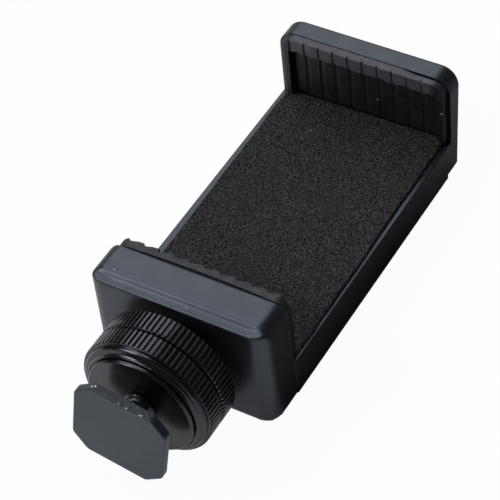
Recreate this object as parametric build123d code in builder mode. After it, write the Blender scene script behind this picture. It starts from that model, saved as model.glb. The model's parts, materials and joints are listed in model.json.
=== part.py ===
"""Spring-loaded phone clamp whose sliding jaw screws onto a hot-shoe foot.

The origin is the centre of the bed's back face. +Z points out of the bed, to the phone, and +Y
points from the sliding jaw to the fixed jaw, so the hot-shoe foot is at the -Y end.
"""
import os

from build123d import *

# Bed
clamp_width = 37.3
bed_length = 60.8
wall_height = 8.3
side_wall = 2.2
bed_roof = 2.0
near_wall = 4.0
far_wall = 3.4
cover_thickness = 1.6
cover_ledge = 0.8
edge_round = 0.4
wall_edge_round = 0.3
wall_end_round = 0.25

# Fixed jaw, moulded with the bed
fixed_jaw_height = 24.0
fixed_jaw_base = 3.1
fixed_jaw_lean = 1.4
fixed_jaw_setback = 1.6
fixed_jaw_step = 0.9
fixed_jaw_corner = 3.75
jaw_edge_round = 0.9

# Sliding jaw
sliding_jaw_height = 23.5
sliding_jaw_depth = 8.7
sliding_jaw_corner = 3.0
sliding_jaw_side_gap = 0.15
sliding_jaw_upright_round = 3.3
sliding_jaw_back_round = 0.2
sliding_jaw_ledge = 2.3
sliding_jaw_ledge_slope = 0.7
sliding_jaw_ledge_drop = 1.0
sliding_jaw_rim_rise = 0.5
sliding_jaw_ledge_round = 0.8
sliding_jaw_valley_round = 1.0
sliding_jaw_rim_round = 0.6
sliding_jaw_foot_round = 0.5
jaw_travel = 27.0

# Rubber grip pads
pad_side_margin = 1.15
fixed_pad_thickness = 1.8
sliding_pad_thickness = 2.2
pad_corner = 2.4
pad_border = 1.4
pad_lip = 3.0
pad_web = 0.25
pad_plug = 0.8
pad_plug_inset = 1.0
pad_top_drop = 0.15
rib_pitch = 3.2
rib_groove = 0.7
lip_tooth_depth = 0.55
lip_tooth_run = 2.6
lip_tooth_shift = 0.2
lip_groove_depth = 0.35
lip_groove_width = 0.35
web_rib_height = 0.35
fixed_pad_shift = 0.4
sliding_pad_shift = 0.2

# Foam on the bed
foam_side_margin = 1.1
foam_thickness = 0.75
foam_corner = 0.8
foam_skew = 0.67
foam_shift = 0.3
foam_near_margin = 0.45
foam_far_reach = 1.3

# Guide rods, their bridge and the return springs
rod_radius = 1.25
rod_post_room = 0.6
rod_seat_depth = 6.0
rod_tip = 1.6
rod_end_room = 1.8
rod_chamfer = 0.3
bridge_depth = 3.0
bridge_side = 2.4
bridge_round = 0.5
clip_thickness = 0.5
clip_radius = 2.1
clip_groove_depth = 0.3
clip_opening = 1.5
stop_spring_room = 2.0
stop_depth = 3.0
spring_wire = 0.5
spring_rod_gap = 0.25
spring_pitch = 1.8
stop_gap = 0.3

# Back-cover screws
screw_radius = 0.9
screw_head_radius = 1.9
screw_length = 4.6
screw_recess_width = 0.45
screw_recess_depth = 0.5
post_radius = 2.2
post_wall_bite = 0.1
post_end_room = 0.8

# Quarter-inch stud, its insert and the hot-shoe foot
screw_height = 10.7
stud_radius = 3.175
stud_reach = 5.7
stud_chamfer = 0.6
spigot_radius = 2.2
spigot_depth = 1.2
insert_radius = 4.5
insert_length = 6.2
insert_waist = 0.4
insert_collar = 1.6
foot_width = 18.6
foot_height = 18.85
foot_thickness = 1.8
foot_corner = 3.25
foot_corner_round = 1.5
foot_turn = 10.84
foot_edge = 0.3
foot_back_edge = 0.3

# Knurled lock wheels and their washers
wheel_radius = 13.15
wheel_chamfer = 0.3
neck_gap = 2.65
rear_wheel_width = 4.25
wheel_gap = 0.35
front_wheel_width = 4.05
knurl_count = 80
knurl_depth = 0.42
knurl_groove = 0.56
knurl_root = 0.24
front_rim_width = 0.2
front_rim_drop = 0.1
front_bead_step = 0.65
front_bead_land = 0.2
front_bead_round = 0.65
front_cove_round = 0.65
front_seat_rim = 0.1
front_seat_depth = 0.35
clamp_washer_thickness = 1.25
clamp_washer_round = 0.45
jam_washer_radius = 7.0
jam_washer_thickness = 0.8
shoe_gap = 5.2

# Clearances
running_gap = 0.05
press_gap = 0.02
seat_gap = 0.05
cover_gap = 0.1
soft_gap = 0.25
slide_gap = 0.3

# Places worked out from the sizes above
half_width = clamp_width / 2
near_end = -bed_length / 2
far_end = bed_length / 2
cavity_roof = wall_height - bed_roof
cavity_half_width = half_width - side_wall
cavity_near = near_end + near_wall
cavity_far = far_end - far_wall
cavity_middle = (cavity_near + cavity_far) / 2
cavity_length = cavity_far - cavity_near
rod_height = (cover_thickness + cavity_roof) / 2
post_x = cavity_half_width - post_radius + post_wall_bite
rod_spread = post_x - post_radius - rod_post_room - bridge_side
rod_end = cavity_far - rod_end_room
bridge_far = rod_end - rod_tip
bridge_near = bridge_far - bridge_depth
spring_room = bridge_near - cavity_near
spring_radius = rod_radius + spring_rod_gap + spring_wire / 2
stop_width = 2 * (rod_spread - spring_radius - spring_wire / 2 - stop_spring_room)
stop_far = bridge_near - jaw_travel - stop_gap
post_near = cavity_near + post_radius + post_end_room
post_far = cavity_far - post_radius - post_end_room
post_places = [(x, y) for x in (-post_x, post_x) for y in (post_near, post_far)]
fixed_jaw_face = far_end + fixed_jaw_setback
jaw_outer_face = near_end - sliding_jaw_depth
foam_width = clamp_width - 2 * foam_side_margin
foam_top = wall_height + foam_thickness
pad_width = clamp_width - 2 * pad_side_margin
pad_bottom = foam_top + soft_gap
rear_wheel_back = jaw_outer_face - neck_gap
rear_wheel_front = rear_wheel_back - rear_wheel_width
front_wheel_back = rear_wheel_front - wheel_gap
knurl_end = front_wheel_back - front_wheel_width
bead_start = knurl_end - front_bead_land
bead_front = bead_start - front_bead_round
cove_front = bead_front - front_cove_round
seat_floor = cove_front + front_seat_depth
clamp_face = seat_floor - seat_gap - clamp_washer_thickness
foot_back = clamp_face - shoe_gap
bead_radius = wheel_radius - front_bead_step
bead_inner_radius = bead_radius - front_bead_round
cove_inner_radius = bead_inner_radius - front_cove_round
seat_radius = cove_inner_radius - front_seat_rim
clamp_washer_radius = seat_radius - slide_gap
stud_tip = jaw_outer_face + stud_reach
stud_bore = stud_radius + running_gap
screw_axis = Axis((0, 0, screw_height), (0, 1, 0))


def across(y, height=0.0):
    """A sketch plane square to Y, seen from the foot's end: its x is +X and its y is +Z."""
    return Plane(origin=(0, y, height), x_dir=(1, 0, 0), z_dir=(0, -1, 0))


def keep(piece, label):
    """Label one finished piece and write its STEP file."""
    piece.label = label
    export_step(piece, f"parts/{label}.step")


def turned(profile):
    """A solid turned about the screw's axis from (y, radius) corners."""
    with BuildPart() as solid:
        with BuildSketch(Plane.YZ):
            with BuildLine():
                Polyline([(y, screw_height + r) for y, r in profile], close=True)
            make_face()
        revolve(axis=screw_axis)
    return solid.part


def pad_outline(shift, top):
    """The grip pad's face outline, rounded at its two upper corners, on the current sketch plane."""
    height = top - pad_bottom
    with Locations((shift, pad_bottom + height / 2)):
        outline = Rectangle(pad_width, height)
    fillet(outline.vertices().group_by(Axis.Y)[-1], pad_corner)


def round_corner(outline, place, radius):
    """Round the corner of the current sketch that lies nearest to a place in its plane."""
    fillet(outline.vertices().sort_by_distance(place)[0], radius)


def grip_pad(face, inward, shift, jaw_height, thickness, lip_cut):
    """A ribbed rubber pad on a jaw's face, whose lip and borders stand proud towards `inward`."""
    top = jaw_height - pad_top_drop
    front = face + inward * thickness
    web = face + inward * pad_web
    window_width = pad_width - 2 * pad_border
    window_top = top - pad_lip
    window_height = window_top - pad_bottom
    window_middle = pad_bottom + window_height / 2
    rib_number = int(window_width / rib_pitch)
    with BuildPart() as pad:
        with BuildSketch(across(face)):
            pad_outline(shift, top)
        extrude(amount=-inward * thickness)
        with BuildSketch(across(front)):
            with Locations((shift, window_middle)):
                Rectangle(window_width, window_height)
        extrude(amount=inward * (thickness - pad_web), mode=Mode.SUBTRACT)
        with BuildSketch(across(web)):
            with Locations((shift, window_middle)):
                with GridLocations(rib_pitch, 0, rib_number, 1):
                    Rectangle(rib_pitch - rib_groove, window_height)
        extrude(amount=-inward * web_rib_height)
        with BuildSketch(Plane.XY.offset(window_top)):
            with Locations((shift + lip_tooth_shift, front)):
                with GridLocations(rib_pitch, 0, rib_number + 1, 1):
                    Polygon(*lip_cut, align=None)
        extrude(amount=pad_lip, mode=Mode.SUBTRACT)
        with BuildSketch(across(face)):
            plug_outline(shift, jaw_height, 0)
        extrude(amount=inward * (pad_plug - seat_gap))
    return pad.part


def plug_outline(shift, jaw_height, gap):
    """The outline of a pad's back plug, or of its pocket in the jaw when given a gap."""
    low = pad_bottom + pad_plug_inset
    high = jaw_height - pad_top_drop - pad_lip
    with Locations((shift, (low + high) / 2)):
        Rectangle(pad_width - 2 * (pad_border + pad_plug_inset - gap), high - low + 2 * gap)


def knurled_blank(back, width):
    """A straight-knurled disc on the screw's axis, from its back face towards the foot."""
    with BuildPart() as blank:
        with BuildSketch(across(back, screw_height)):
            Circle(wheel_radius)
            with PolarLocations(wheel_radius, knurl_count):
                Polygon(
                    (-knurl_depth, -knurl_root / 2),
                    (-knurl_depth, knurl_root / 2),
                    (knurl_depth, knurl_groove - knurl_root / 2),
                    (knurl_depth, knurl_root / 2 - knurl_groove),
                    align=None,
                    mode=Mode.SUBTRACT,
                )
        extrude(amount=width)
    return blank.part


def washer(back, thickness, radius):
    """A flat washer on the stud, from its back face towards the foot."""
    with BuildPart() as ring:
        with BuildSketch(across(back, screw_height)):
            Circle(radius)
            Circle(stud_bore, mode=Mode.SUBTRACT)
        extrude(amount=thickness)
    return ring.part


os.makedirs("parts", exist_ok=True)

# Bed: a tray open at its back, with the fixed jaw standing on its far end
with BuildPart() as bed:
    with BuildSketch(Plane.YZ):
        with BuildLine():
            Polyline(
                (near_end, 0),
                (far_end, 0),
                (far_end, fixed_jaw_step),
                (fixed_jaw_face + fixed_jaw_base, fixed_jaw_step),
                (fixed_jaw_face + fixed_jaw_base + fixed_jaw_lean, fixed_jaw_height),
                (fixed_jaw_face, fixed_jaw_height),
                (fixed_jaw_face, wall_height),
                (near_end, wall_height),
                close=True,
            )
        make_face()
    extrude(amount=half_width, both=True)
    jaw_corners = bed.edges().filter_by(Axis.Y).group_by(Axis.Z)[-1]
    fillet(jaw_corners, fixed_jaw_corner)
    back_face = bed.faces().sort_by(Axis.Y)[-1]
    outer_rim = back_face.edges().filter_by(lambda e: e.center().Z > fixed_jaw_height / 4)
    fillet(outer_rim, jaw_edge_round)
    near_face = bed.faces().sort_by(Axis.Y)[0]
    fillet(near_face.edges().filter_by(Axis.Z), wall_end_round)
    wall_tops = bed.edges().filter_by(Axis.Y).filter_by_position(Axis.Z, wall_height, wall_height)
    fillet(wall_tops, wall_edge_round)
    with BuildSketch(Plane.XY):
        with Locations((0, cavity_middle)):
            Rectangle(2 * cavity_half_width, cavity_length)
    extrude(amount=cavity_roof, mode=Mode.SUBTRACT)
    with BuildSketch(Plane.XY):
        with Locations((0, cavity_middle)):
            Rectangle(2 * (cavity_half_width + cover_ledge), cavity_length + 2 * cover_ledge)
    extrude(amount=cover_thickness, mode=Mode.SUBTRACT)
    with BuildSketch(Plane.XY.offset(cover_thickness)):
        with Locations(*post_places):
            Circle(post_radius)
        with Locations((0, stop_far - stop_depth / 2)):
            Rectangle(stop_width, stop_depth)
    extrude(amount=cavity_roof - cover_thickness)
    with BuildSketch(Plane.XY.offset(cover_thickness)):
        with Locations(*post_places):
            Circle(screw_radius + running_gap)
    extrude(amount=screw_length - cover_thickness + slide_gap, mode=Mode.SUBTRACT)
    with BuildSketch(across(near_end)):
        with Locations((-rod_spread, rod_height), (rod_spread, rod_height)):
            Circle(rod_radius + running_gap)
    extrude(amount=-near_wall, mode=Mode.SUBTRACT)
    with BuildSketch(across(fixed_jaw_face)):
        plug_outline(fixed_pad_shift, fixed_jaw_height, seat_gap)
    extrude(amount=-pad_plug, mode=Mode.SUBTRACT)
keep(bed.part, "bed_frame")

# Back cover: a plate let into the bed's open back
with BuildPart() as back_cover:
    with BuildSketch(Plane.XY):
        with Locations((0, cavity_middle)):
            Rectangle(
                2 * (cavity_half_width + cover_ledge - cover_gap),
                cavity_length + 2 * (cover_ledge - cover_gap),
            )
    extrude(amount=cover_thickness)
    with Locations(*[Location((x, y, 0), (180, 0, 0)) for x, y in post_places]):
        CounterSinkHole(screw_radius + cover_gap, screw_head_radius + cover_gap, cover_thickness)
    cover_corners = back_cover.edges().filter_by(Axis.Z).filter_by(GeomType.LINE)
    fillet(cover_corners, edge_round)
keep(back_cover.part, "back_cover")

# Cover screws: countersunk, with a cross recess, heads flush with the cover's outside
with BuildPart() as cover_screws:
    with BuildSketch(Plane.XY):
        with Locations(*post_places):
            Circle(screw_head_radius)
    extrude(amount=screw_head_radius - screw_radius, taper=45)
    with BuildSketch(Plane.XY):
        with Locations(*post_places):
            Circle(screw_radius)
    extrude(amount=screw_length)
    with BuildSketch(Plane.XY):
        with Locations(*post_places):
            Rectangle(screw_head_radius * 1.3, screw_recess_width)
            Rectangle(screw_recess_width, screw_head_radius * 1.3)
    extrude(amount=screw_recess_depth, mode=Mode.SUBTRACT)
keep(cover_screws.part, "cover_screws")

# Foam sheet on the bed, stuck on slightly askew
foam_length = bed_length - foam_near_margin + foam_far_reach
foam_middle = (foam_near_margin + foam_far_reach) / 2
with BuildPart() as foam:
    with BuildSketch(Plane.XY.offset(wall_height + press_gap)):
        with Locations(Location((foam_shift, foam_middle, 0), (0, 0, foam_skew))):
            RectangleRounded(foam_width, foam_length, foam_corner)
    extrude(amount=foam_thickness)
keep(foam.part, "bed_foam")

# Grip pads on both jaws: the fixed one's lip has narrow grooves, the sliding one's has teeth
lip_grooves = [
    (-lip_groove_width, -lip_groove_depth),
    (0, lip_groove_depth),
    (lip_groove_width, -lip_groove_depth),
]
lip_teeth = [
    (0, lip_tooth_depth),
    (0, -lip_tooth_depth),
    (lip_tooth_run, 0),
    (2 * lip_tooth_run, lip_tooth_depth),
]
fixed_pad = grip_pad(
    fixed_jaw_face - press_gap,
    -1,
    fixed_pad_shift,
    fixed_jaw_height,
    fixed_pad_thickness,
    lip_grooves,
)
sliding_pad = grip_pad(
    near_end + press_gap,
    1,
    sliding_pad_shift,
    sliding_jaw_height,
    sliding_pad_thickness,
    lip_teeth,
)
keep(fixed_pad, "fixed_jaw_pad")
keep(sliding_pad, "sliding_jaw_pad")

# Sliding jaw: a block with rounded uprights and a soft ledge along its outer top edge
sliding_jaw_width = clamp_width - 2 * sliding_jaw_side_gap
ledge_edge = (jaw_outer_face + sliding_jaw_ledge, sliding_jaw_height)
valley = (ledge_edge[0] - sliding_jaw_ledge_slope, sliding_jaw_height - sliding_jaw_ledge_drop)
outer_rim = (jaw_outer_face, valley[1] + sliding_jaw_rim_rise)
with BuildPart() as sliding_jaw:
    with BuildSketch(Plane.YZ) as side_view:
        with BuildLine():
            Polyline(
                (near_end, 0),
                (near_end, sliding_jaw_height),
                ledge_edge,
                valley,
                outer_rim,
                (jaw_outer_face, 0),
                close=True,
            )
        make_face()
        round_corner(side_view, (near_end, sliding_jaw_height), sliding_jaw_back_round)
        round_corner(side_view, ledge_edge, sliding_jaw_ledge_round)
        round_corner(side_view, valley, sliding_jaw_valley_round)
        round_corner(side_view, outer_rim, sliding_jaw_rim_round)
        round_corner(side_view, (jaw_outer_face, 0), sliding_jaw_foot_round)
    extrude(amount=half_width, both=True)
    with BuildSketch(across(near_end)):
        with Locations((0, sliding_jaw_height / 2)):
            block = Rectangle(sliding_jaw_width, sliding_jaw_height)
        fillet(block.vertices().group_by(Axis.Y)[-1], sliding_jaw_corner)
    extrude(amount=sliding_jaw_depth, mode=Mode.INTERSECT)
    with BuildSketch(Plane.XY):
        with Locations((0, (near_end + jaw_outer_face) / 2)):
            plan = Rectangle(sliding_jaw_width, sliding_jaw_depth)
        fillet(plan.vertices().group_by(Axis.Y)[0], sliding_jaw_upright_round)
    extrude(amount=sliding_jaw_height, mode=Mode.INTERSECT)
    with BuildSketch(across(near_end)):
        with Locations((-rod_spread, rod_height), (rod_spread, rod_height)):
            Circle(rod_radius + press_gap)
    extrude(amount=rod_seat_depth, mode=Mode.SUBTRACT)
    with BuildSketch(across(near_end)):
        plug_outline(sliding_pad_shift, sliding_jaw_height, seat_gap)
    extrude(amount=pad_plug, mode=Mode.SUBTRACT)
    with BuildSketch(across(jaw_outer_face, screw_height)):
        Circle(insert_radius + press_gap)
    extrude(amount=-insert_length, mode=Mode.SUBTRACT)
keep(sliding_jaw.part, "sliding_jaw")

# Brass insert that takes the stud, pressed into the sliding jaw's outer face
insert_end = jaw_outer_face + insert_length - seat_gap
with BuildPart() as insert:
    add(
        turned(
            [
                (jaw_outer_face, stud_bore),
                (jaw_outer_face, insert_radius),
                (jaw_outer_face + insert_collar, insert_radius),
                (jaw_outer_face + insert_collar, insert_radius - insert_waist),
                (insert_end - insert_collar, insert_radius - insert_waist),
                (insert_end - insert_collar, insert_radius),
                (insert_end, insert_radius),
                (insert_end, stud_bore),
            ]
        )
    )
keep(insert.part, "threaded_insert")

# Guide rods: pressed into the sliding jaw, free in the bed's near wall
clip_place = bridge_far + press_gap
for side, label in ((-1, "guide_rod_left"), (1, "guide_rod_right")):
    with BuildPart() as rod:
        with BuildSketch(across(near_end - rod_seat_depth)):
            with Locations((side * rod_spread, rod_height)):
                Circle(rod_radius)
        extrude(amount=-(rod_end - near_end + rod_seat_depth))
        chamfer(rod.edges().filter_by(GeomType.CIRCLE), rod_chamfer)
        with BuildSketch(across(clip_place)):
            with Locations((side * rod_spread, rod_height)):
                Circle(rod_radius)
                Circle(rod_radius - clip_groove_depth, mode=Mode.SUBTRACT)
        extrude(amount=-(clip_thickness + 2 * press_gap), mode=Mode.SUBTRACT)
    keep(rod.part, label)

# Bridge that ties the rods' far ends and carries the springs
bridge_half_width = rod_spread + bridge_side
bridge_low = cover_thickness + slide_gap
bridge_high = cavity_roof - slide_gap
with BuildPart() as bridge:
    with BuildSketch(across(bridge_far)):
        with Locations((0, (bridge_low + bridge_high) / 2)):
            RectangleRounded(2 * bridge_half_width, bridge_high - bridge_low, bridge_round)
        with Locations((-rod_spread, rod_height), (rod_spread, rod_height)):
            Circle(rod_radius + press_gap, mode=Mode.SUBTRACT)
    extrude(amount=bridge_depth)
keep(bridge.part, "rod_bridge")

# Open clips in the rods' grooves, behind the bridge
with BuildPart() as clips:
    with BuildSketch(across(clip_place + press_gap)):
        for side in (-1, 1):
            with Locations((side * rod_spread, rod_height)):
                Circle(clip_radius)
        for side in (-1, 1):
            with Locations((side * rod_spread, rod_height)):
                Circle(rod_radius - clip_groove_depth + press_gap, mode=Mode.SUBTRACT)
            with Locations((side * (rod_spread + clip_radius), rod_height)):
                Rectangle(2 * clip_radius, clip_opening, mode=Mode.SUBTRACT)
    extrude(amount=-clip_thickness)
keep(clips.part, "rod_clips")

# Return springs on the rods, between the bed's near wall and the bridge
spring_height = spring_room - spring_wire - 2 * seat_gap
spring_start = cavity_near + spring_wire / 2 + seat_gap
for side, label in ((-1, "return_spring_left"), (1, "return_spring_right")):
    spring_foot = (side * rod_spread, spring_start, rod_height)
    with BuildPart() as spring:
        with BuildLine():
            coil = Helix(spring_pitch, spring_height, spring_radius, spring_foot, (0, 1, 0))
        with BuildSketch(Plane(origin=coil @ 0, z_dir=coil % 0)):
            Circle(spring_wire / 2)
        sweep(path=coil, is_frenet=True)
    keep(spring.part, label)

# Stud: quarter-inch, screwed into the insert at one end and spigoted into the foot at the other
with BuildPart() as stud:
    add(
        turned(
            [
                (stud_tip, 0),
                (stud_tip, stud_radius - stud_chamfer),
                (stud_tip - stud_chamfer, stud_radius),
                (foot_back, stud_radius),
                (foot_back, spigot_radius),
                (foot_back - spigot_depth, spigot_radius),
                (foot_back - spigot_depth, 0),
            ]
        )
    )
keep(stud.part, "threaded_stud")

# Hot-shoe foot: a square plate with its corners cut, turned a little about the screw
with BuildPart() as foot:
    with BuildSketch(across(foot_back, screw_height)):
        with Locations(Location((0, 0, 0), (0, 0, -foot_turn))):
            plate = Rectangle(foot_width, foot_height)
        octagon = chamfer(plate.vertices(), foot_corner)
        fillet(octagon.vertices(), foot_corner_round)
    extrude(amount=foot_thickness)
    fillet(foot.faces().sort_by(Axis.Y)[0].edges(), foot_edge)
    fillet(foot.faces().sort_by(Axis.Y)[-1].edges(), foot_back_edge)
    with BuildSketch(across(foot_back, screw_height)):
        Circle(spigot_radius + press_gap)
    extrude(amount=spigot_depth + seat_gap, mode=Mode.SUBTRACT)
keep(foot.part, "shoe_foot")

# Rear lock wheel, which jams against the sliding jaw
with BuildPart() as rear_wheel:
    add(knurled_blank(rear_wheel_back, rear_wheel_width))
    add(
        turned(
            [
                (rear_wheel_back, stud_bore),
                (rear_wheel_back, wheel_radius - wheel_chamfer),
                (rear_wheel_back - wheel_chamfer, wheel_radius),
                (rear_wheel_front + wheel_chamfer, wheel_radius),
                (rear_wheel_front, wheel_radius - wheel_chamfer),
                (rear_wheel_front, stud_bore),
            ]
        ),
        mode=Mode.INTERSECT,
    )
keep(rear_wheel.part, "rear_lock_wheel")

# Front lock wheel: knurled up to a thin rim, then a bead, a cove and the clamp washer's seat
with BuildPart() as front_wheel:
    add(knurled_blank(front_wheel_back, front_wheel_width - front_rim_width))
    with BuildSketch(across(knurl_end + front_rim_width, screw_height)):
        Circle(wheel_radius - front_rim_drop)
    extrude(amount=knurl_end + front_rim_width - cove_front)
    with BuildSketch(Plane.YZ):
        with BuildLine():
            Polyline(
                (front_wheel_back, screw_height + stud_bore),
                (front_wheel_back, screw_height + wheel_radius - wheel_chamfer),
                (front_wheel_back - wheel_chamfer, screw_height + wheel_radius),
                (knurl_end, screw_height + wheel_radius),
                (knurl_end, screw_height + bead_radius),
                (bead_start, screw_height + bead_radius),
            )
            RadiusArc(
                (bead_start, screw_height + bead_radius),
                (bead_front, screw_height + bead_inner_radius),
                -front_bead_round,
            )
            RadiusArc(
                (bead_front, screw_height + bead_inner_radius),
                (cove_front, screw_height + cove_inner_radius),
                front_cove_round,
            )
            Polyline(
                (cove_front, screw_height + cove_inner_radius),
                (cove_front, screw_height + seat_radius),
                (seat_floor, screw_height + seat_radius),
                (seat_floor, screw_height + stud_bore),
                (front_wheel_back, screw_height + stud_bore),
            )
        make_face()
    revolve(axis=screw_axis, mode=Mode.INTERSECT)
keep(front_wheel.part, "front_lock_wheel")

# Washers that travel with the wheels without turning
clamp_washer_back = clamp_face + clamp_washer_thickness
jam_washer_back = rear_wheel_back + seat_gap + jam_washer_thickness
with BuildPart() as clamp_washer:
    add(washer(clamp_washer_back, clamp_washer_thickness, clamp_washer_radius))
    front_edges = clamp_washer.faces().sort_by(Axis.Y)[0].edges()
    fillet(front_edges.sort_by(SortBy.RADIUS)[-1], clamp_washer_round)
keep(clamp_washer.part, "clamp_washer")
keep(washer(jam_washer_back, jam_washer_thickness, jam_washer_radius), "jam_washer")
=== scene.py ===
"""Looks of the phone clamp: finishes, soft pieces, thread, springs, light, floor and camera."""

import json
import math

import bmesh
import bpy
from mathutils import Matrix, Vector, noise

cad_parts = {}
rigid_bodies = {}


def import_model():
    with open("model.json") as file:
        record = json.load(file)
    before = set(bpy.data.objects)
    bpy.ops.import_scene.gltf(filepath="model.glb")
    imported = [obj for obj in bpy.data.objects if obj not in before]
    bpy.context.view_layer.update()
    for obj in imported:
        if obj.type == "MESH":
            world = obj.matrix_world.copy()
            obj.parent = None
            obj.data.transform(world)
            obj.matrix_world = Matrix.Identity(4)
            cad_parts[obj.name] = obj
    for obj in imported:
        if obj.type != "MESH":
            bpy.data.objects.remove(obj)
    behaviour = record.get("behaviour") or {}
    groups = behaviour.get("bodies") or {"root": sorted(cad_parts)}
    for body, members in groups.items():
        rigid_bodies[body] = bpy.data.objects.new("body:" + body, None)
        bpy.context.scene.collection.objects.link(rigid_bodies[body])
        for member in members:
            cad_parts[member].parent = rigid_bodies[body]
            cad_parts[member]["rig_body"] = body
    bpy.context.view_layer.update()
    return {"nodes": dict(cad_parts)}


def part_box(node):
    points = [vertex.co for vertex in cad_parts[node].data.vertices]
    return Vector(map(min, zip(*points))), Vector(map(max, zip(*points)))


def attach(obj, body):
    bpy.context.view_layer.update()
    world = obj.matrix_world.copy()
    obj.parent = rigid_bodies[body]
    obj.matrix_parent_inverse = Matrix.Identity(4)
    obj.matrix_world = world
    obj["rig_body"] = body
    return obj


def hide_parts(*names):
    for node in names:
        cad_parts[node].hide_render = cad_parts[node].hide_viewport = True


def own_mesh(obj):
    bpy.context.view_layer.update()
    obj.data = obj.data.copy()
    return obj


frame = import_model()
nodes = frame["nodes"]

MM = 0.001

# Camera, fitted to the photograph's straight edges and circles
IMAGE_PIXELS = 500
FOCAL_PIXELS = 2153.6
SENSOR_WIDTH = 36.0
CAMERA_PLACE = Vector((156.79, -237.45, 301.40)) * MM
CAMERA_AZIMUTH = math.radians(35.0)
CAMERA_ELEVATION = math.radians(46.53)
CAMERA_ROLL = math.radians(6.91)
CAMERA_NEAR = 0.01
CAMERA_FAR = 10.0

# Lamps: place, side of the square and watts; each looks at the origin
LAMPS = {
    "back_left": ((-0.42, 0.48, 0.70), 0.7, 3.1),
    "front_left": ((-0.55, -0.52, 0.62), 0.4, 4.4),
    "top": ((-0.33, -0.02, 0.92), 0.5, 2.1),
}
WORLD_STRENGTH = 0.1

# Floor: how white it shows, and the painted shadow beside and behind the clamp that only
# reflections see
FLOOR_HALF = 3.0
FLOOR_WHITE = 0.96
FLOOR_GLOSSY = 0.4
FLOOR_PAINT = (0.8, 0.8, 0.8)
FLOOR_PAINTED_SHADOW = (0.15, 0.15, 0.15)
PAINTED_SHADOW_BESIDE = (10 * MM, 20 * MM)
PAINTED_SHADOW_BEHIND = (-1 * MM, 11 * MM)
PAINTED_SHADOW_FAR = (50 * MM, 90 * MM)
PAINTED_SHADOW_FAR_SHARE = 0.82

# Specular tints
PLASTIC_TINT = (0.70, 0.81, 1.0, 1.0)
FOOT_TINT = (0.66, 0.79, 1.0, 1.0)
RUBBER_TINT = (0.9, 0.94, 1.0, 1.0)
METAL_TINT = (0.74, 0.81, 0.95, 1.0)

# Noise values between which a patch turns from its first look to its second
PATCH_LOW = 0.3
PATCH_HIGH = 0.7

# Worn edges: cosines between the true and the softened normal
EDGE_START = 0.995
EDGE_FULL = 0.9
BEVEL_SAMPLES = 4

# Small marks: place in mm in the part's frame, radius in mm
MARK_GRAIN = 0.35 * MM
MARK_SOLID = 0.75
MARK_GONE = 1.25
# Painted highlights: bright spots on the sliding jaw's ridges and corners where light glints
PLASTIC_PAINTED_GLINTS = [
    ((-13.9, -36.2, 23.4), 0.2),
    ((2.0, -37.7, 22.5), 0.16),
    ((15.4, -38.9, 22.7), 0.22),
    ((17.4, -37.2, 22.5), 0.2),
]
FOAM_SPECKS = [
    ((-7.4, 22.8, 9.05), 0.28),
    ((-7.9, 22.2, 9.05), 0.2),
    ((9.3, 24.0, 9.05), 0.2),
    ((8.4, 23.2, 9.05), 0.16),
]
RUBBER_SPECKS = [
    ((17.6, 30.3, 17.0), 0.35),
    ((3.0, 31.5, 14.0), 0.35),
]
# Paint chips along the foot plate's upper side; the first two, at its left end, are a painted
# highlight
FOOT_CHIPS_AND_GLINT = [
    ((-4.3, -59.1, 21.1), 0.3),
    ((-3.7, -58.8, 21.0), 0.24),
    ((1.4, -59.7, 20.0), 0.13),
    ((3.0, -59.8, 19.7), 0.22),
    ((5.5, -59.8, 19.25), 0.2),
    ((5.9, -59.7, 19.2), 0.24),
    ((7.5, -59.8, 18.85), 0.17),
    ((9.3, -59.7, 8.9), 0.2),
]

# Foot plate's upper side: the direction that it faces and its place along it
FOOT_UP = (0.188, 0.0, 0.982)
FOOT_HALF_HEIGHT = 9.425 * MM
FOOT_CENTRE_HEIGHT = 10.7 * MM
FOOT_TOP = FOOT_HALF_HEIGHT + FOOT_CENTRE_HEIGHT * FOOT_UP[2]
FOOT_SIDE_START = 0.35 * MM
FOOT_SIDE_FULL = 0.1 * MM

# Rubber's lighter zone along each pad's top, clear of its side borders: wear, and painted sheen
# where the lip catches light above the shaded web
SHEEN_AND_SCUFF_START = 18.6 * MM
SHEEN_AND_SCUFF_FULL = 19.9 * MM
SHEEN_AND_SCUFF_WANDER = 2.4 * MM
SHEEN_AND_SCUFF_HALF_WIDTH = (14.4 * MM, 16.2 * MM)
SHEEN_AND_SCUFF_BORDER_SHARE = 0.15

# Grip pads
PAD_PLUG = 0.75 * MM
PAD_PLUG_INSET = 1.0 * MM
PAD_PLUG_EDGE = 0.2 * MM
PAD_CORNER = 2.4 * MM
PAD_BORDER = 1.4 * MM
PAD_BORDER_EDGE = 0.1 * MM
PAD_LIP = 3.0 * MM
PAD_LIP_BELOW = 0.15 * MM
PAD_LIP_ABOVE = 0.1 * MM
PAD_LIP_TEAR = 0.45 * MM
PAD_LIP_TEAR_RUN = 1.7 * MM
PAD_WEB = 0.25 * MM
PAD_RIB = 0.17 * MM
PAD_PITCH = 3.2 * MM
PAD_RIB_HALF_GAP = 0.35 * MM
PAD_RIB_BEFORE = 0.12 * MM
PAD_RIB_AFTER = 0.05 * MM
PAD_TOOTH_DEPTH = 0.55 * MM
PAD_TOOTH_RUN = 2.6 * MM
PAD_TOOTH_SHIFT = 0.2 * MM
PAD_TOOTH_DROP = 0.12 * MM
PAD_TOOTH_FOOT = 0.2 * MM
PAD_GROOVE_DEPTH = 0.35 * MM
PAD_GROOVE_HALF = 0.2 * MM
PAD_SEAM_BOW = 0.42 * MM
PAD_SEAM_REACH = 1.2 * MM
PAD_EDGE_ROUND = 0.3 * MM
PAD_ROUGH = 0.03 * MM
PAD_ROUGH_RUN = 1.3 * MM
PAD_THINNEST = 0.1 * MM
PAD_CELL = 0.16 * MM

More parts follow.
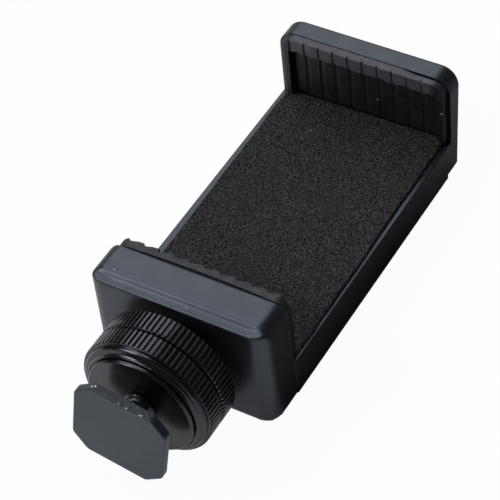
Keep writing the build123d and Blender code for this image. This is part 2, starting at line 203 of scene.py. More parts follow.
# Sliding jaw: softened edges, and a valley along the ledge at its outer top edge
JAW_VOXEL = 0.26 * MM
JAW_EVEN_SMOOTHING = 4
JAW_TOP_SMOOTHING = 14
JAW_SMOOTHING_FACTOR = 0.5
JAW_SOFT_START = 12.0 * MM
JAW_SOFT_FULL = 17.0 * MM
JAW_VALLEY_FROM_FACE = 1.1 * MM
JAW_VALLEY_HALF = 0.95 * MM
JAW_VALLEY_DEEPER = 0.36 * MM
JAW_VALLEY_START = 4.0 * MM
JAW_VALLEY_FULL = 2.0 * MM
JAW_VALLEY_END = 4.5 * MM
JAW_VALLEY_END_START = JAW_VALLEY_END / 4

# Foam
FOAM_SKEW = math.radians(0.67)
FOAM_CORNER = 0.8 * MM
FOAM_EDGE_ROUND = 0.25 * MM
FOAM_CELL = 0.4 * MM
FOAM_EDGE_ZONE = 2.0 * MM
FOAM_SIDE_SHRINK = 0.12 * MM
FOAM_SIDE_WAVE = 0.13 * MM
FOAM_SIDE_WAVE_RUN = 4.5 * MM
FOAM_SIDE_APART = 3.0 * MM
FOAM_FRAY = 0.05 * MM
FOAM_FRAY_RUN = 0.9 * MM
FOAM_END_SHRINK = 0.1 * MM
FOAM_END_WAVE = 0.1 * MM
FOAM_END_WAVE_RUN = 5.0 * MM
FOAM_TOP_GRAIN = 0.035 * MM
FOAM_TOP_GRAIN_RUN = 0.55 * MM
FOAM_TOP_WAVE = 0.03 * MM
FOAM_TOP_WAVE_RUN = 9.0 * MM
FOAM_TOP_SINK = 0.05 * MM
FOAM_SHARP_ANGLE = 60.0

# Quarter-inch thread
THREAD_PITCH = 1.27 * MM
THREAD_DEPTH = 0.69 * MM
THREAD_CREST = 0.1
THREAD_ROOT = 0.92
THREAD_SIDES = 48
THREAD_RINGS_PER_TURN = 8
THREAD_END_TAPER = 0.6 * MM
THREAD_CORE_SHARE = 0.4
THREAD_SHARP_ANGLE = 35.0

# Springs
SPRING_WIRE = 0.5 * MM
SPRING_PITCH = 1.8 * MM
SPRING_CLOSED_TURNS = 1.5
SPRING_RINGS_PER_TURN = 20
SPRING_SIDES = 8


def put(tree, kind, inputs=None, **settings):
    """Adds one shader node, with its settings, and links or sets its inputs."""
    made = tree.nodes.new(kind)
    for key, value in settings.items():
        setattr(made, key, value)
    for key, value in (inputs or {}).items():
        if isinstance(value, bpy.types.NodeSocket):
            tree.links.new(value, made.inputs[key])
        else:
            made.inputs[key].default_value = value
    return made


def place_of(tree):
    """The point in the piece's own coordinates, which don't move with its body."""
    found = tree.nodes.get("place")
    if found is None:
        found = tree.nodes.new("ShaderNodeTexCoord")
        found.name = "place"
    return found.outputs["Object"]


def cloud(tree, size, detail=2.0):
    """Noise from 0 to 1 whose blobs are about `size` metres across."""
    inputs = {"Vector": place_of(tree), "Scale": 1 / size, "Detail": detail}
    return put(tree, "ShaderNodeTexNoise", inputs).outputs["Fac"]


def span(tree, value, low, high, to_low=0.0, to_high=1.0):
    """Maps a value smoothly from low..high to to_low..to_high."""
    inputs = {
        "Value": value,
        "From Min": low,
        "From Max": high,
        "To Min": to_low,
        "To Max": to_high,
    }
    settings = {"interpolation_type": "SMOOTHSTEP"}
    return put(tree, "ShaderNodeMapRange", inputs, **settings).outputs["Result"]


def patches(tree, size, detail, to_low=0.0, to_high=1.0):
    """Soft patches about `size` metres across, from to_low to to_high."""
    return span(tree, cloud(tree, size, detail), PATCH_LOW, PATCH_HIGH, to_low, to_high)


def sums(tree, operation, first, second):
    """One arithmetic step on two values."""
    return put(tree, "ShaderNodeMath", {0: first, 1: second}, operation=operation).outputs[0]


def product(tree, first, second):
    """Two values multiplied."""
    return sums(tree, "MULTIPLY", first, second)


def point_product(tree, operation, vector, output):
    """One vector step on the point in the piece's own coordinates."""
    inputs = {0: place_of(tree), 1: vector}
    return put(tree, "ShaderNodeVectorMath", inputs, operation=operation).outputs[output]


def between(tree, share, first, second):
    """A colour between two colours or colour sockets."""
    sockets = bpy.types.NodeSocket
    values = [c if isinstance(c, sockets) else (*c, 1.0) for c in (first, second)]
    inputs = {0: share, 6: values[0], 7: values[1]}
    return put(tree, "ShaderNodeMix", inputs, data_type="RGBA").outputs[2]


def marks(tree, places, ragged=0.35):
    """A mask of small irregular marks, each a (place in mm, radius in mm)."""
    wobble = product(tree, cloud(tree, MARK_GRAIN), ragged)
    mask = None
    for place, radius in places:
        centre = tuple(v * MM for v in place)
        away = point_product(tree, "DISTANCE", centre, "Value")
        share = sums(tree, "DIVIDE", away, radius * MM)
        reach = sums(tree, "ADD", share, wobble)
        one = span(tree, reach, MARK_SOLID, MARK_GONE, 1.0, 0.0)
        mask = one if mask is None else sums(tree, "MAXIMUM", mask, one)
    return mask


def soft_normal(tree, radius):
    """The normal with its edges softened to a radius."""
    return put(tree, "ShaderNodeBevel", {"Radius": radius}, samples=BEVEL_SAMPLES).outputs["Normal"]


def worn_edges(tree, radius, size, detail, low, high):
    """A mask of the edges within a radius, broken up by noise."""
    flat = put(tree, "ShaderNodeNewGeometry").outputs["Normal"]
    inputs = {0: soft_normal(tree, radius), 1: flat}
    same = put(tree, "ShaderNodeVectorMath", inputs, operation="DOT_PRODUCT").outputs["Value"]
    edge = span(tree, same, EDGE_START, EDGE_FULL, 0.0, 1.0)
    return product(tree, edge, span(tree, cloud(tree, size, detail), low, high))


def bumped(tree, height, depth, normal=None):
    """A normal raised by a height from 0 to 1 times a depth."""
    inputs = {"Height": height, "Distance": depth, "Strength": 1.0}
    if normal is not None:
        inputs["Normal"] = normal
    return put(tree, "ShaderNodeBump", inputs).outputs["Normal"]


def grained(tree, shader, grain, soft_edge, detail=2.0, coarse=None):
    """Bump over softened edges; grain and coarse are each (size, height)."""
    normal = soft_normal(tree, soft_edge) if soft_edge else None
    for size, height in [grain] + ([coarse] if coarse else []):
        normal = bumped(tree, cloud(tree, size, detail), height, normal)
    link(tree, normal, shader, "Normal")


def new_finish(name, **constants):
    """A material, its node tree and its main shader, with the shader's constants set on it."""
    made = bpy.data.materials.new(name)
    made.use_nodes = True
    tree = made.node_tree
    shader = tree.nodes["Principled BSDF"]
    for key, value in constants.items():
        shader.inputs[key.replace("_", " ")].default_value = value
    return made, tree, shader


def link(tree, value, shader, socket):
    """Joins a value to one of the shader's sockets."""
    tree.links.new(value, shader.inputs[socket])


def moulded_plastic():
    """Satin black moulding: faint mottling, a fine spark texture, worn edges and a few painted
    highlights.
    """
    constants = {"Specular_IOR_Level": 0.8, "Specular_Tint": PLASTIC_TINT}
    made, tree, shader = new_finish("moulded_plastic", **constants)
    patch = patches(tree, 9 * MM, 3.0)
    colour = between(tree, patch, (0.0048, 0.0052, 0.0058), (0.0062, 0.0068, 0.0076))
    speck = span(tree, cloud(tree, 0.5 * MM, 1.0), 0.66, 0.74)
    colour = between(tree, product(tree, speck, 0.3), colour, (0.02, 0.021, 0.024))
    worn = worn_edges(tree, 0.35 * MM, 2 * MM, 4.0, 0.4, 0.65)
    colour = between(tree, product(tree, worn, 0.35), colour, (0.03, 0.032, 0.036))
    # Painted highlights on the jaw's ridges and corners
    colour = between(tree, marks(tree, PLASTIC_PAINTED_GLINTS), colour, (0.28, 0.29, 0.31))
    link(tree, colour, shader, "Base Color")
    link(tree, patches(tree, 4 * MM, 4.0, 0.36, 0.41), shader, "Roughness")
    grained(tree, shader, (0.25 * MM, 0.003 * MM), 0.15 * MM, coarse=(8 * MM, 0.02 * MM))
    return made


def cover_plastic():
    """Matt black moulding with a coarser texture."""
    made, tree, shader = new_finish("cover_plastic")
    patch = patches(tree, 6 * MM, 3.0)
    colour = between(tree, patch, (0.022, 0.023, 0.026), (0.03, 0.031, 0.034))
    link(tree, colour, shader, "Base Color")
    link(tree, patches(tree, 2 * MM, 3.0, 0.55, 0.68), shader, "Roughness")
    grained(tree, shader, (0.3 * MM, 0.012 * MM), 0.15 * MM)
    return made


def foam_finish():
    """Black closed-cell foam: light and dark cells, a few pale specks."""
    made, tree, shader = new_finish("foam", Specular_IOR_Level=0.2)
    cells = span(tree, cloud(tree, 0.28 * MM, 0.0), 0.42, 0.6)
    colour = between(tree, cells, (0.002, 0.002, 0.002), (0.05, 0.0505, 0.05))
    wide = span(tree, cloud(tree, 7 * MM, 2.0), 0.35, 0.65)
    colour = between(tree, product(tree, wide, 0.15), colour, (0.01, 0.01, 0.01))
    pale = span(tree, cloud(tree, 0.4 * MM, 1.0), 0.64, 0.7)
    colour = between(tree, product(tree, pale, 0.5), colour, (0.12, 0.12, 0.118))
    colour = between(tree, marks(tree, FOAM_SPECKS), colour, (0.16, 0.16, 0.155))
    link(tree, colour, shader, "Base Color")
    link(tree, patches(tree, 1 * MM, 2.0, 0.82, 0.95), shader, "Roughness")
    grained(tree, shader, (0.3 * MM, 0.12 * MM), None, 1.0, coarse=(1.1 * MM, 0.06 * MM))
    return made


def rubber_finish():
    """Black moulded rubber, pale along the fixed pad's top with wear and painted sheen, with dust
    and a few specks.
    """
    constants = {"Specular_IOR_Level": 0.6, "Specular_Tint": RUBBER_TINT}
    made, tree, shader = new_finish("pad_rubber", **constants)
    patch = span(tree, cloud(tree, 3 * MM, 4.0), 0.35, 0.65)
    colour = between(tree, patch, (0.002, 0.0023, 0.002), (0.005, 0.0055, 0.005))
    spread = put(tree, "ShaderNodeSeparateXYZ", {0: place_of(tree)}).outputs
    wander = product(tree, cloud(tree, 4 * MM, 2.0), SHEEN_AND_SCUFF_WANDER)
    height = sums(tree, "SUBTRACT", spread["Z"], wander)
    fixed = span(tree, spread["Y"], 0.0, 1 * MM)
    aside = sums(tree, "ABSOLUTE", spread["X"], 0.0)
    inside = span(tree, aside, *SHEEN_AND_SCUFF_HALF_WIDTH, 1.0, SHEEN_AND_SCUFF_BORDER_SHARE)
    # Wear and painted sheen: the pads' tops lighter, standing in for the light the lips catch, most
    # on the fixed pad
    sheen_and_scuff = product(tree, span(tree, height, SHEEN_AND_SCUFF_START, SHEEN_AND_SCUFF_FULL), inside)
    colour = between(tree, product(tree, sheen_and_scuff, fixed), colour, (0.054, 0.058, 0.068))
    slid = product(tree, sheen_and_scuff, sums(tree, "SUBTRACT", 1.0, fixed))
    colour = between(tree, slid, colour, (0.008, 0.009, 0.012))
    worn = worn_edges(tree, 0.2 * MM, 2 * MM, 3.0, 0.35, 0.6)
    worn = product(tree, worn, span(tree, fixed, 0.0, 1.0, 0.05, 0.4))
    colour = between(tree, worn, colour, (0.055, 0.060, 0.072))
    dust = span(tree, cloud(tree, 0.3 * MM, 2.0), 0.7, 0.78)
    colour = between(tree, product(tree, dust, 0.2), colour, (0.04, 0.042, 0.044))
    colour = between(tree, marks(tree, RUBBER_SPECKS), colour, (0.16, 0.16, 0.15))
    link(tree, colour, shader, "Base Color")
    link(tree, patches(tree, 1.5 * MM, 3.0, 0.5, 0.62), shader, "Roughness")
    grained(tree, shader, (0.2 * MM, 0.01 * MM), None, coarse=(1.6 * MM, 0.04 * MM))
    return made


def anodised(name, rough_low, rough_high):
    """Glossy black anodised aluminium, rubbed a little along its edges."""
    constants = {"Specular_IOR_Level": 0.68, "Specular_Tint": METAL_TINT}
    made, tree, shader = new_finish(name, **constants)
    patch = patches(tree, 5 * MM, 3.0)
    colour = between(tree, patch, (0.002, 0.00208, 0.0024), (0.0025, 0.0026, 0.003))
    worn = worn_edges(tree, 0.12 * MM, 1.2 * MM, 3.0, 0.5, 0.7)
    colour = between(tree, product(tree, worn, 0.25), colour, (0.1, 0.1, 0.105))
    link(tree, colour, shader, "Base Color")
    link(tree, patches(tree, 1.5 * MM, 4.0, rough_low, rough_high), shader, "Roughness")
    grained(tree, shader, (0.5 * MM, 0.002 * MM), 0.2 * MM)
    return made


def foot_paint():
    """Satin black paint, rougher on the plate's upper side and chipped to bare metal there, with a
    painted highlight at that side's left end.
    """
    constants = {"Specular_IOR_Level": 0.85, "Specular_Tint": FOOT_TINT}
    made, tree, shader = new_finish("foot_paint", **constants)
    patch = patches(tree, 6 * MM, 3.0)
    colour = between(tree, patch, (0.003, 0.006, 0.012), (0.004, 0.007, 0.013))
    rubbed = worn_edges(tree, 0.25 * MM, 0.8 * MM, 3.0, 0.42, 0.6)
    colour = between(tree, product(tree, rubbed, 0.25), colour, (0.12, 0.12, 0.125))
    upward = point_product(tree, "DOT_PRODUCT", FOOT_UP, "Value")
    side = span(tree, upward, FOOT_TOP - FOOT_SIDE_START, FOOT_TOP - FOOT_SIDE_FULL)
    colour = between(tree, side, colour, (0.022, 0.0215, 0.018))
    # Bare metal chips, and a painted highlight at the upper side's left end
    chips_and_glint = marks(tree, FOOT_CHIPS_AND_GLINT, ragged=0.6)
    colour = between(tree, chips_and_glint, colour, (0.75, 0.76, 0.78))
    link(tree, colour, shader, "Base Color")
    rough = sums(tree, "ADD", patches(tree, 2 * MM, 4.0, 0.4, 0.44), product(tree, side, 0.25))
    link(tree, rough, shader, "Roughness")
    dents = product(tree, cloud(tree, 1.3 * MM, 2.0), side)
    normal = bumped(tree, dents, 0.35 * MM, soft_normal(tree, 0.1 * MM))
    link(tree, normal, shader, "Normal")
    return made


def bare_metal(name, first, second, rough, grain, height):
    """A metal whose tint and polish vary a little, with fine lines of a size and height."""
    made, tree, shader = new_finish(name, Metallic=1.0)
    link(tree, between(tree, patches(tree, 2 * MM, 4.0), first, second), shader, "Base Color")
    lines = cloud(tree, grain, 3.0)
    link(tree, span(tree, lines, PATCH_LOW, PATCH_HIGH, *rough), shader, "Roughness")
    link(tree, bumped(tree, lines, height), shader, "Normal")
    return made


def dress(node, finish):
    """Gives a CAD node its material."""
    slots = nodes[node].material_slots
    if not slots:
        nodes[node].data.materials.append(finish)
    for one in slots:
        one.material = finish


def new_piece(name, points, faces, finish, smooth_angle=40.0):
    """A closed mesh piece, its faces turned outward, smooth but for edges past an angle."""
    mesh = bpy.data.meshes.new(name)
    mesh.from_pydata([tuple(p) for p in points], [], faces)
    mesh.validate()
    mesh.materials.append(finish)
    mesh.polygons.foreach_set("use_smooth", [True] * len(mesh.polygons))
    mesh.set_sharp_from_angle(angle=math.radians(smooth_angle))
    work = bmesh.new()
    work.from_mesh(mesh)
    bmesh.ops.recalc_face_normals(work, faces=work.faces)
    work.to_mesh(mesh)
    work.free()
    piece = bpy.data.objects.new(name, mesh)
    bpy.context.scene.collection.objects.link(piece)
    return piece


def ease(value, low, high):
    """Smooth step from 0 at low to 1 at high."""
    share = min(1.0, max(0.0, (value - low) / (high - low)))
    return share * share * (3 - 2 * share)


def noise_at(size, x, y, z):
    """Noise from -1 to 1 whose waves are about `size` metres long."""
    return noise.noise(Vector((x, y, z)) / size)


def grid_slab(columns, rows, front, back):
    """Points and faces of a closed slab between two grids of the same size."""
    points = [front(i, j) for j in range(rows) for i in range(columns)]
    points += [back(i, j) for j in range(rows) for i in range(columns)]
    shift = columns * rows
    faces = []
    for j in range(rows - 1):
        for i in range(columns - 1):
            a = j * columns + i
            c = a + columns
            faces.append((a, a + 1, c + 1, c))
            faces.append((shift + c, shift + c + 1, shift + a + 1, shift + a))
    rim = list(range(columns - 1))
    rim += [j * columns + columns - 1 for j in range(rows - 1)]
    rim += [(rows - 1) * columns + i for i in range(columns - 1, 0, -1)]
    rim += [j * columns for j in range(rows - 1, 0, -1)]
    for a, b in zip(rim, rim[1:] + rim[:1]):
        faces.append((b, a, shift + a, shift + b))
    return points, faces


def tube_faces(rings, sides):
    """Faces of a closed tube of rings with `sides` points each."""
    faces = []
    for ring in range(rings - 1):
        for side in range(sides):
            a = ring * sides + side
            b = ring * sides + (side + 1) % sides
            faces.append((a, b, b + sides, a + sides))
    last = (rings - 1) * sides
    faces.append(tuple(range(sides)))
    faces.append(tuple(last + side for side in reversed(range(sides))))
    return faces


def edge_places(length, cell, fine):
    """Places along a length, close together near both ends."""
    ends = [0.0, 0.03, 0.1, 0.22, 0.4, 0.65, 1.0]
    near = [e * fine for e in ends]
    count = max(2, round((length - 2 * fine) / cell))
    middle = [fine + (length - 2 * fine) * k / count for k in range(1, count)]
    return near + middle + [length - e for e in reversed(near)]


def rounded(depth, radius):
    """How far a rounded edge falls below its face, at a depth inside the outline."""
    if depth >= radius:
        return 0.0
    return radius - math.sqrt(max(0.0, radius * radius - (radius - depth) ** 2))


def corner_inset(over, radius):
    """How far a rounded corner stands inside its side, past the place where the round starts."""
    if over <= 0:
        return 0.0
    return radius - math.sqrt(max(0.0, radius**2 - over**2))


def grip_pad(node, inward):
    """A ribbed rubber pad: proud borders, a grooved or toothed lip, and flat ribs on its web."""
    low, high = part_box(node)
    fixed = inward < 0
    width, height = high.x - low.x, high.z - low.z
    middle = (low.x + high.x) / 2
    thickness = high.y - low.y - PAD_PLUG
    face = high.y - PAD_PLUG if fixed else low.y + PAD_PLUG
    across = edge_places(width, PAD_CELL, 2 * PAD_EDGE_ROUND)
    up = edge_places(height, PAD_CELL, 2 * PAD_EDGE_ROUND)

    def half_at(v):
        return width / 2 - corner_inset(v - (height - PAD_CORNER), PAD_CORNER)

    def point(i, j):
        v = up[j]
        return (across[i] / width * 2 - 1) * half_at(v), v

    def tooth(u):
        """How deep the lip is cut: narrow grooves, or teeth with a steep drop and a long rise."""
        place = (u - PAD_TOOTH_SHIFT) / PAD_PITCH
        number = math.floor(place)
        after = (place - number) * PAD_PITCH
        if fixed:
            away = min(after, PAD_PITCH - after)
            return PAD_GROOVE_DEPTH * (1 - ease(away, 0.0, PAD_GROOVE_HALF))
        uneven = noise_at(1.0, number * 3.7, 5.3, 1.9)
        drop = ease(after, 0.0, PAD_TOOTH_DROP)
        rise = 1 - ease(after, PAD_TOOTH_FOOT, PAD_TOOTH_RUN * (0.95 + 0.25 * uneven))
        return PAD_TOOTH_DEPTH * (0.9 + 0.4 * uneven) * drop * rise

    def proud(u, v):
        """How far the pad's face stands off the jaw."""
        inset = min(half_at(v) - abs(u), v, height - v)
        torn = height - PAD_LIP + noise_at(PAD_LIP_TEAR_RUN, u, 4.0, 8.0) * PAD_LIP_TEAR
        lip = ease(v, torn - PAD_LIP_BELOW, torn + PAD_LIP_ABOVE)
        side = width / 2 - PAD_BORDER
        border = ease(abs(u), side - PAD_BORDER_EDGE, side + PAD_BORDER_EDGE)
        phase = abs((u / PAD_PITCH) % 1.0 - 0.5) * PAD_PITCH
        rib_end = PAD_PITCH / 2 - PAD_RIB_HALF_GAP
        rib = ease(phase, rib_end - PAD_RIB_BEFORE, rib_end + PAD_RIB_AFTER)
        web = PAD_WEB + PAD_RIB * (1 - rib)
        surface = web + (thickness - web) * max(lip, border)
        surface -= tooth(u) * lip
        rough = noise_at(PAD_ROUGH_RUN, u, v, 0.0) * PAD_ROUGH
        surface = min(surface + rough - PAD_ROUGH, thickness)
        return max(PAD_THINNEST, surface - rounded(inset, PAD_EDGE_ROUND))

    def bow(u, v):
        """How far the pad's back gapes from the jaw along its top."""
        along = u / half_at(v)
        share = 0.15 + 1.1 * ease(along, 0.5, 0.8) if fixed else 1 - along**2
        return PAD_SEAM_BOW * ease(v, height - PAD_SEAM_REACH, height) * share

    def front(i, j):
        u, v = point(i, j)
        return (middle + u, face + inward * proud(u, v), low.z + v)

    plug_half = width / 2 - PAD_BORDER - PAD_PLUG_INSET

    def back(i, j):
        u, v = point(i, j)
        inside = min(plug_half - abs(u), v - PAD_PLUG_INSET, height - PAD_LIP - v)
        depth = bow(u, v) - PAD_PLUG * ease(inside, 0.0, PAD_PLUG_EDGE)
        return (middle + u, face + inward * depth, low.z + v)

    points, faces = grid_slab(len(across), len(up), front, back)
    piece = new_piece(node + "_rubber", points, faces, RUBBER)
    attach(piece, nodes[node]["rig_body"])
    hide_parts(node)


def keep_result(piece):
    """Turns a piece's modifiers into its mesh."""
    graph = bpy.context.evaluated_depsgraph_get()
    made = bpy.data.meshes.new_from_object(piece.evaluated_get(graph))
    piece.modifiers.clear()
    piece.data = made


def smoothed(piece, iterations, group=""):
    """Adds smoothing, over the whole piece or where a vertex group says."""
    smooth = piece.modifiers.new("smooth", "SMOOTH")
    smooth.factor = JAW_SMOOTHING_FACTOR
    smooth.iterations = iterations
    smooth.vertex_group = group


def softened_jaw():
    """The sliding jaw with the soft edges and the shallow valley of a worn moulding."""
    piece = bpy.data.objects.new("sliding_jaw_moulding", nodes["sliding_jaw"].data.copy())
    bpy.context.scene.collection.objects.link(piece)
    remesh = piece.modifiers.new("remesh", "REMESH")
    remesh.mode = "VOXEL"
    remesh.voxel_size = JAW_VOXEL
    smoothed(piece, JAW_EVEN_SMOOTHING)
    keep_result(piece)
    low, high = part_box("sliding_jaw")
    for point in piece.data.vertices:
        x, y, z = point.co
        off = abs(y - low.y - JAW_VALLEY_FROM_FACE) / JAW_VALLEY_HALF
        share = 1 - ease(off, 0.0, 1.0)
        share *= ease(z, high.z - JAW_VALLEY_START, high.z - JAW_VALLEY_FULL)
        share *= ease(high.x - abs(x), JAW_VALLEY_END_START, JAW_VALLEY_END)
        point.co.z = z - JAW_VALLEY_DEEPER * share
    soft_zone = piece.vertex_groups.new(name="soft")
    for point in piece.data.vertices:
        share = ease(point.co.z, JAW_SOFT_START, JAW_SOFT_FULL)
        soft_zone.add([point.index], share, "REPLACE")
    smoothed(piece, JAW_TOP_SMOOTHING, soft_zone.name)
    keep_result(piece)
    soft = piece.data
    soft.materials.clear()
    soft.materials.append(PLASTIC)
    soft.polygons.foreach_set("use_smooth", [True] * len(soft.polygons))
    soft.name = piece.name
    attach(piece, "jaw")
    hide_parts("sliding_jaw")


def foam_sheet():
    """The foam on the bed, cut a little askew, with soft, uneven edges and a fine grain."""
    low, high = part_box("bed_foam")
    box_width, box_length = high.x - low.x, high.y - low.y
    cos, sin = math.cos(FOAM_SKEW), math.sin(FOAM_SKEW)
    width = (box_width * cos - box_length * sin) / (cos * cos - sin * sin)
    length = (box_length * cos - box_width * sin) / (cos * cos - sin * sin)
    centre = (low + high) / 2
    across = edge_places(width, FOAM_CELL, 2 * FOAM_EDGE_ROUND)
    along = edge_places(length, FOAM_CELL, 2 * FOAM_EDGE_ROUND)

    def outline(i, j):
        """A point on the sheet's plan, and how far inside the outline it lies."""
        u, v = across[i] - width / 2, along[j] - length / 2
        half = width / 2 - corner_inset(abs(v) - (length / 2 - FOAM_CORNER), FOAM_CORNER)
        side = ease(abs(u), width / 2 - FOAM_EDGE_ZONE, width / 2)
        apart = FOAM_SIDE_APART * (1 if u > 0 else 2)
        wave = noise_at(FOAM_SIDE_WAVE_RUN, 0.0, v, apart) * FOAM_SIDE_WAVE
        fray = noise_at(FOAM_FRAY_RUN, 7.0, v, 1.0) * FOAM_FRAY
        half -= side * (FOAM_SIDE_SHRINK + wave + fray)
        u *= half / (width / 2)
        end = ease(abs(v), length / 2 - FOAM_EDGE_ZONE, length / 2)
        wave = noise_at(FOAM_END_WAVE_RUN, u, 5.0, 2.0) * FOAM_END_WAVE
        v -= math.copysign(end * (FOAM_END_SHRINK + wave), v)
        return u, v, min(half - abs(u), length / 2 - abs(v))

    def placed(u, v, z):
        return (centre.x + u * cos - v * sin, centre.y + u * sin + v * cos, z)

    def front(i, j):
        u, v, inset = outline(i, j)
        grain = noise_at(FOAM_TOP_GRAIN_RUN, u, v, 0.0) * FOAM_TOP_GRAIN
        wave = noise_at(FOAM_TOP_WAVE_RUN, u, v, 9.0) * FOAM_TOP_WAVE
        top = min(high.z, high.z - FOAM_TOP_SINK + grain + wave)
        return placed(u, v, top - rounded(max(0.0, inset), FOAM_EDGE_ROUND))

    def back(i, j):
        u, v = outline(i, j)[:2]
        return placed(u, v, low.z)

    points, faces = grid_slab(len(across), len(along), front, back)
    piece = new_piece("bed_foam_sheet", points, faces, FOAM, FOAM_SHARP_ANGLE)
    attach(piece, "bed")
    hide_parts("bed_foam")


def stud():
    """The quarter-inch stud with its real thread."""
    low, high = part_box("threaded_stud")
    outer = (high.x - low.x) / 2
    middle = (low + high) / 2
    rings = round((high.y - low.y) / THREAD_PITCH * THREAD_RINGS_PER_TURN) + 1

    def radius_at(y, angle):
        turn = (y / THREAD_PITCH - angle / (2 * math.pi)) % 1.0
        depth = THREAD_DEPTH * ease(abs(turn - 0.5) * 2, THREAD_CREST, THREAD_ROOT)
        taper = max(0.0, THREAD_END_TAPER - (high.y - y))
        return max(THREAD_CORE_SHARE * outer, min(outer - depth, outer - taper))

    points = []
    for ring in range(rings):
        y = low.y + (high.y - low.y) * ring / (rings - 1)
        for side in range(THREAD_SIDES):
            angle = 2 * math.pi * side / THREAD_SIDES
            radius = radius_at(y, angle)
            x = middle.x + radius * math.sin(angle)
            points.append((x, y, middle.z + radius * math.cos(angle)))
    faces = tube_faces(rings, THREAD_SIDES)
    piece = new_piece("stud_thread", points, faces, STUD_STEEL, THREAD_SHARP_ANGLE)
    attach(piece, "adapter")
    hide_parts("threaded_stud")


def spring(node):
    """A compression spring with closed ends."""
    low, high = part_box(node)
    centre = (low + high) / 2
    wire = SPRING_WIRE / 2
    radius = (high.x - low.x) / 2 - wire
    whole = high.y - low.y
    closed = SPRING_CLOSED_TURNS
    free_turns = (whole - SPRING_WIRE - 2 * closed * SPRING_WIRE) / SPRING_PITCH
    turns = free_turns + 2 * closed
    rings = round(turns * SPRING_RINGS_PER_TURN) + 1

    def along(turn):
        ends = min(turn, closed) + max(0.0, turn - closed - free_turns)
        open_turns = min(max(0.0, turn - closed), free_turns)
        return ends * SPRING_WIRE + open_turns * SPRING_PITCH

    points = []
    for ring in range(rings):
        turn = turns * ring / (rings - 1)
        angle = 2 * math.pi * turn
        y = low.y + wire + along(turn)
        for side in range(SPRING_SIDES):
            phase = 2 * math.pi * side / SPRING_SIDES
            reach = radius + wire * math.cos(phase)
            x = centre.x + reach * math.cos(angle)
            points.append((x, y + wire * math.sin(phase), centre.z + reach * math.sin(angle)))
    faces = tube_faces(rings, SPRING_SIDES)
    piece = new_piece(node + "_coil", points, faces, SPRING_STEEL)
    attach(piece, "bed")
    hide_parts(node)
    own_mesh(piece)


def make_camera():
    """The camera at the photograph's place, angle and focal length."""
    data = bpy.data.cameras.new("camera")
    data.sensor_width = SENSOR_WIDTH
    data.lens = FOCAL_PIXELS / IMAGE_PIXELS * SENSOR_WIDTH
    data.clip_start, data.clip_end = CAMERA_NEAR, CAMERA_FAR
    level = Vector((math.cos(CAMERA_AZIMUTH), math.sin(CAMERA_AZIMUTH), 0))
    ahead = Vector((-level.y, level.x, 0))
    down = Vector((0, 0, -1))
    forward = math.cos(CAMERA_ELEVATION) * ahead + math.sin(CAMERA_ELEVATION) * down
    right = math.cos(CAMERA_ROLL) * level - math.sin(CAMERA_ROLL) * level.cross(forward)
    up = right.cross(forward)
    camera = bpy.data.objects.new("camera", data)
    turn = Matrix((right, up, -forward)).transposed().to_4x4()
    camera.matrix_world = Matrix.Translation(CAMERA_PLACE) @ turn
    bpy.context.scene.collection.objects.link(camera)
    bpy.context.scene.camera = camera


def area_light(name, place, size, watts):
    """A square soft light that looks at the origin."""
    data = bpy.data.lights.new(name, "AREA")
    data.shape = "SQUARE"
    data.size = size
    data.energy = watts
    lamp = bpy.data.objects.new(name, data)
    lamp.location = place
    lamp.rotation_euler = (-Vector(place)).to_track_quat("-Z", "Y").to_euler()
    bpy.context.scene.collection.objects.link(lamp)


def make_world():
    """Even pale light from all round; the camera sees white."""
    world = bpy.data.worlds.new("studio")
    bpy.context.scene.world = world
    world.use_nodes = True
    tree = world.node_tree
    background = tree.nodes["Background"]
    path = put(tree, "ShaderNodeLightPath").outputs["Is Camera Ray"]
    strength = span(tree, path, 0.0, 1.0, WORLD_STRENGTH, 1.0)
    tree.links.new(strength, background.inputs["Strength"])
    background.inputs["Color"].default_value = (1.0, 1.0, 1.0, 1.0)


def floor_finish():
    """White to the camera, with the object's shadow; reflections also see a painted shadow beside
    and behind the clamp; clear from below.
    """
    made, tree, shader = new_finish("floor", Roughness=0.9)
    inputs = {"Color": (1.0, 1.0, 1.0, 1.0), "Strength": 1.0}
    white = put(tree, "ShaderNodeEmission", inputs)
    path = put(tree, "ShaderNodeLightPath").outputs
    shown = sums(tree, "MAXIMUM", path["Is Camera Ray"], path["Is Transmission Ray"])
    spread = put(tree, "ShaderNodeSeparateXYZ", {0: place_of(tree)}).outputs
    # Painted shadow: for reflections the floor is darker beside and behind the clamp, where the
    # clamp would shade it
    beside = span(tree, spread["X"], *PAINTED_SHADOW_BESIDE)
    far = span(tree, spread["Y"], *PAINTED_SHADOW_FAR, 1.0, PAINTED_SHADOW_FAR_SHARE)
    behind = product(tree, span(tree, spread["Y"], *PAINTED_SHADOW_BEHIND), far)
    painted_shadow = product(tree, product(tree, beside, behind), path["Is Glossy Ray"])
    link(tree, between(tree, painted_shadow, FLOOR_PAINT, FLOOR_PAINTED_SHADOW), shader, "Base Color")
    open_floor = product(tree, sums(tree, "SUBTRACT", 1.0, painted_shadow), FLOOR_GLOSSY)
    glossy = product(tree, path["Is Glossy Ray"], open_floor)
    share = sums(tree, "MAXIMUM", product(tree, shown, FLOOR_WHITE), glossy)
    inputs = {0: share, 1: shader.outputs[0], 2: white.outputs[0]}
    above = put(tree, "ShaderNodeMixShader", inputs)
    clear = put(tree, "ShaderNodeBsdfTransparent")
    below = put(tree, "ShaderNodeNewGeometry").outputs["Backfacing"]
    inputs = {0: below, 1: above.outputs[0], 2: clear.outputs[0]}
    sided = put(tree, "ShaderNodeMixShader", inputs)
    link(tree, sided.outputs[0], tree.nodes["Material Output"], "Surface")
    return made


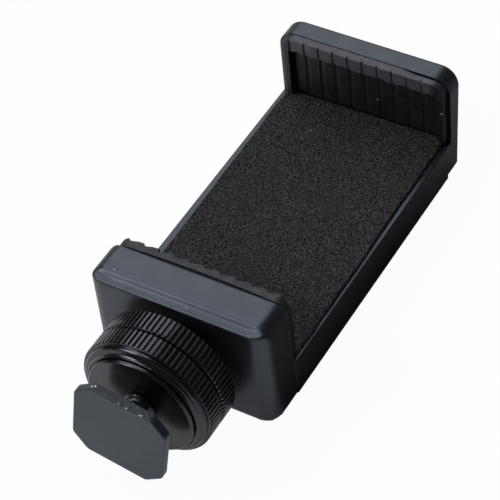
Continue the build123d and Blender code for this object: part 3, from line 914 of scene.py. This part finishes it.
def make_floor():
    """A wide floor that touches the rear wheel and the bed's far end, where the clamp rests."""
    wheel_low, wheel_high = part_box("rear_lock_wheel")
    rest_y, rest_z = wheel_high.y, wheel_low.z
    shells = ("bed_frame", "back_cover")
    points = [v.co for node in shells for v in nodes[node].data.vertices if v.co.y > 0]
    slope = math.atan(min((p.z - rest_z) / (p.y - rest_y) for p in points))
    mesh = bpy.data.meshes.new("floor")
    half = FLOOR_HALF
    corners = [(-half, -half, 0), (half, -half, 0), (half, half, 0), (-half, half, 0)]
    mesh.from_pydata(corners, [], [(0, 1, 2, 3)])
    mesh.materials.append(floor_finish())
    floor = bpy.data.objects.new("floor", mesh)
    floor.location = (0, rest_y, rest_z)
    floor.rotation_euler = (slope, 0, 0)
    bpy.context.scene.collection.objects.link(floor)


make_camera()
bpy.context.scene.view_settings.view_transform = "Standard"
make_world()
for lamp_name, (lamp_place, lamp_size, lamp_watts) in LAMPS.items():
    area_light(lamp_name, lamp_place, lamp_size, lamp_watts)

PLASTIC = moulded_plastic()
COVER = cover_plastic()
FOAM = foam_finish()
RUBBER = rubber_finish()
WHEEL = anodised("anodised", 0.15, 0.2)
WASHER = anodised("washer_anodised", 0.16, 0.22)
FOOT = foot_paint()
CHROME = bare_metal(
    "rod_chrome", (0.62, 0.62, 0.64), (0.7, 0.7, 0.72), (0.08, 0.16), 0.2 * MM, 0.001 * MM
)
SCREW_STEEL = bare_metal(
    "screw_steel", (0.4, 0.4, 0.41), (0.5, 0.5, 0.5), (0.25, 0.4), 0.3 * MM, 0.003 * MM
)
SPRING_STEEL = bare_metal(
    "spring_steel", (0.42, 0.42, 0.42), (0.52, 0.52, 0.52), (0.25, 0.4), 0.2 * MM, 0.002 * MM
)
BRASS = bare_metal(
    "insert_brass", (0.6, 0.42, 0.18), (0.72, 0.53, 0.25), (0.22, 0.36), 0.2 * MM, 0.003 * MM
)
STUD_STEEL = bare_metal(
    "stud_steel", (0.09, 0.09, 0.095), (0.16, 0.16, 0.165), (0.3, 0.45), 0.2 * MM, 0.003 * MM
)

FINISHES = {
    "bed_frame": PLASTIC,
    "back_cover": COVER,
    "rod_bridge": COVER,
    "cover_screws": SCREW_STEEL,
    "rod_clips": SCREW_STEEL,
    "guide_rod_left": CHROME,
    "guide_rod_right": CHROME,
    "threaded_insert": BRASS,
    "shoe_foot": FOOT,
    "rear_lock_wheel": WHEEL,
    "front_lock_wheel": WHEEL,
    "clamp_washer": WASHER,
    "jam_washer": RUBBER,
}
for node_name, node_finish in FINISHES.items():
    dress(node_name, node_finish)

softened_jaw()
foam_sheet()
grip_pad("fixed_jaw_pad", -1)
grip_pad("sliding_jaw_pad", 1)
stud()
spring("return_spring_left")
spring("return_spring_right")
make_floor()
